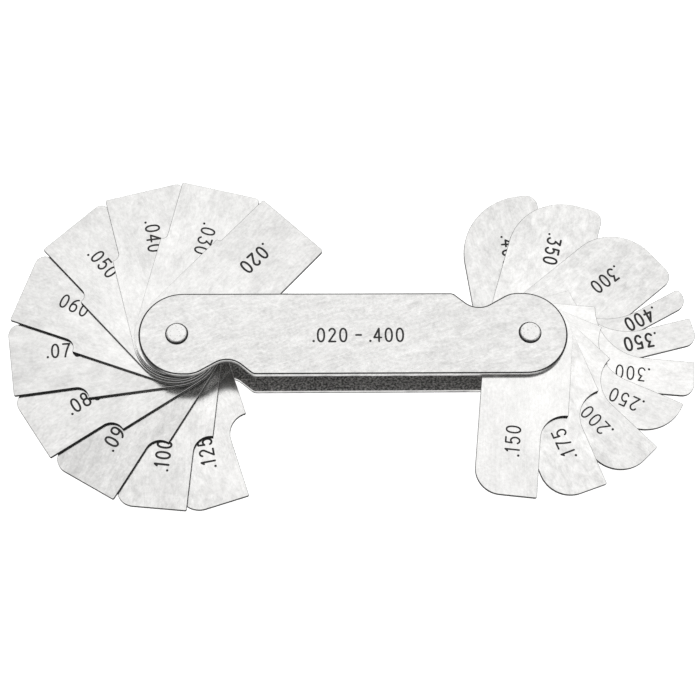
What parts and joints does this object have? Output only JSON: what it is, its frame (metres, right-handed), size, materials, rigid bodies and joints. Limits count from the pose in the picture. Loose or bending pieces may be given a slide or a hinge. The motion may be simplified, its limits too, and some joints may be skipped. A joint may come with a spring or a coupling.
{
  "type": "radius gauge",
  "caption": "Folding radius gauge: slim two-plate steel handle with fans of thin leaves pivoted at both ends, each with a concave or convex radius for checking rounded corners and fillets.",
  "frame": {"origin": "halfway between the two rivets, on the flat surface that the gauge rests on, which the back rivet heads touch", "axes": "+X along the handle towards the end with the large radii, +Y across the handle, +Z out through the front cover, square to every leaf"},
  "size_m": [0.1036, 0.0511, 0.0097],
  "materials": {
    "cover_steel": "satin, fine brushing along the plate, bright edges",
    "leaf_steel": "satin spring steel with faint mottled grinding marks and dark etched size marks",
    "rivet_steel": "round-shouldered heads, lightly polished"
  },
  "bodies": {
    "handle": {"back_cover": "cover_steel", "front_cover": "cover_steel", "left_rivet": "rivet_steel", "right_rivet": "rivet_steel"},
    "leaf_020": {"leaf_020": "leaf_steel"},
    "leaf_030": {"leaf_030": "leaf_steel"},
    "leaf_040": {"leaf_040": "leaf_steel"},
    "leaf_050": {"leaf_050": "leaf_steel"},
    "leaf_060": {"leaf_060": "leaf_steel"},
    "leaf_070": {"leaf_070": "leaf_steel"},
    "leaf_080": {"leaf_080": "leaf_steel"},
    "leaf_090": {"leaf_090": "leaf_steel"},
    "leaf_100": {"leaf_100": "leaf_steel"},
    "leaf_125": {"leaf_125": "leaf_steel"},
    "leaf_150": {"leaf_150": "leaf_steel"},
    "leaf_175": {"leaf_175": "leaf_steel"},
    "leaf_200": {"leaf_200": "leaf_steel"},
    "leaf_250": {"leaf_250": "leaf_steel"},
    "leaf_300_concave": {"leaf_300_concave": "leaf_steel"},
    "leaf_350_concave": {"leaf_350_concave": "leaf_steel"},
    "leaf_400_concave": {"leaf_400_concave": "leaf_steel"},
    "leaf_300_convex": {"leaf_300_convex": "leaf_steel"},
    "leaf_350_convex": {"leaf_350_convex": "leaf_steel"},
    "leaf_400_convex": {"leaf_400_convex": "leaf_steel"}
  },
  "joints": [
    {"name": "leaf_020_hinge", "type": "hinge", "parent": "handle", "child": "leaf_020", "pos_m": [-0.0262, 0, 0.00775], "axis": [0, 0, 1], "range_deg": [-47, 313]},
    {"name": "leaf_030_hinge", "type": "hinge", "parent": "handle", "child": "leaf_030", "pos_m": [-0.0262, 0, 0.00711], "axis": [0, 0, 1], "range_deg": [-76.5, 283.5]},
    {"name": "leaf_040_hinge", "type": "hinge", "parent": "handle", "child": "leaf_040", "pos_m": [-0.0262, 0, 0.00647], "axis": [0, 0, 1], "range_deg": [-104.5, 255.5]},
    {"name": "leaf_050_hinge", "type": "hinge", "parent": "handle", "child": "leaf_050", "pos_m": [-0.0262, 0, 0.00583], "axis": [0, 0, 1], "range_deg": [-132.5, 227.5]},
    {"name": "leaf_060_hinge", "type": "hinge", "parent": "handle", "child": "leaf_060", "pos_m": [-0.0262, 0, 0.00519], "axis": [0, 0, 1], "range_deg": [-160.5, 199.5]},
    {"name": "leaf_070_hinge", "type": "hinge", "parent": "handle", "child": "leaf_070", "pos_m": [-0.0262, 0, 0.00455], "axis": [0, 0, 1], "range_deg": [-188, 172]},
    {"name": "leaf_080_hinge", "type": "hinge", "parent": "handle", "child": "leaf_080", "pos_m": [-0.0262, 0, 0.00391], "axis": [0, 0, 1], "range_deg": [-213.5, 146.5]},
    {"name": "leaf_090_hinge", "type": "hinge", "parent": "handle", "child": "leaf_090", "pos_m": [-0.0262, 0, 0.00327], "axis": [0, 0, 1], "range_deg": [-239.5, 120.5]},
    {"name": "leaf_100_hinge", "type": "hinge", "parent": "handle", "child": "leaf_100", "pos_m": [-0.0262, 0, 0.00263], "axis": [0, 0, 1], "range_deg": [-264.5, 95.5]},
    {"name": "leaf_125_hinge", "type": "hinge", "parent": "handle", "child": "leaf_125", "pos_m": [-0.0262, 0, 0.00199], "axis": [0, 0, 1], "range_deg": [-287.5, 72.5]},
    {"name": "leaf_150_hinge", "type": "hinge", "parent": "handle", "child": "leaf_150", "pos_m": [0.0262, 0, 0.00775], "axis": [0, 0, 1], "range_deg": [-83.5, 276.5]},
    {"name": "leaf_175_hinge", "type": "hinge", "parent": "handle", "child": "leaf_175", "pos_m": [0.0262, 0, 0.00711], "axis": [0, 0, 1], "range_deg": [-109.5, 250.5]},
    {"name": "leaf_200_hinge", "type": "hinge", "parent": "handle", "child": "leaf_200", "pos_m": [0.0262, 0, 0.00647], "axis": [0, 0, 1], "range_deg": [-133.5, 226.5]},
    {"name": "leaf_250_hinge", "type": "hinge", "parent": "handle", "child": "leaf_250", "pos_m": [0.0262, 0, 0.00583], "axis": [0, 0, 1], "range_deg": [-155.5, 204.5]},
    {"name": "leaf_300_concave_hinge", "type": "hinge", "parent": "handle", "child": "leaf_300_concave", "pos_m": [0.0262, 0, 0.00519], "axis": [0, 0, 1], "range_deg": [-174.5, 185.5]},
    {"name": "leaf_350_concave_hinge", "type": "hinge", "parent": "handle", "child": "leaf_350_concave", "pos_m": [0.0262, 0, 0.00455], "axis": [0, 0, 1], "range_deg": [-194, 166]},
    {"name": "leaf_400_concave_hinge", "type": "hinge", "parent": "handle", "child": "leaf_400_concave", "pos_m": [0.0262, 0, 0.00391], "axis": [0, 0, 1], "range_deg": [-208.5, 151.5]},
    {"name": "leaf_300_convex_hinge", "type": "hinge", "parent": "handle", "child": "leaf_300_convex", "pos_m": [0.0262, 0, 0.00327], "axis": [0, 0, 1], "range_deg": [-219.5, 140.5]},
    {"name": "leaf_350_convex_hinge", "type": "hinge", "parent": "handle", "child": "leaf_350_convex", "pos_m": [0.0262, 0, 0.00263], "axis": [0, 0, 1], "range_deg": [-253, 107]},
    {"name": "leaf_400_convex_hinge", "type": "hinge", "parent": "handle", "child": "leaf_400_convex", "pos_m": [0.0262, 0, 0.00199], "axis": [0, 0, 1], "range_deg": [-277.5, 82.5]}
  ]
}
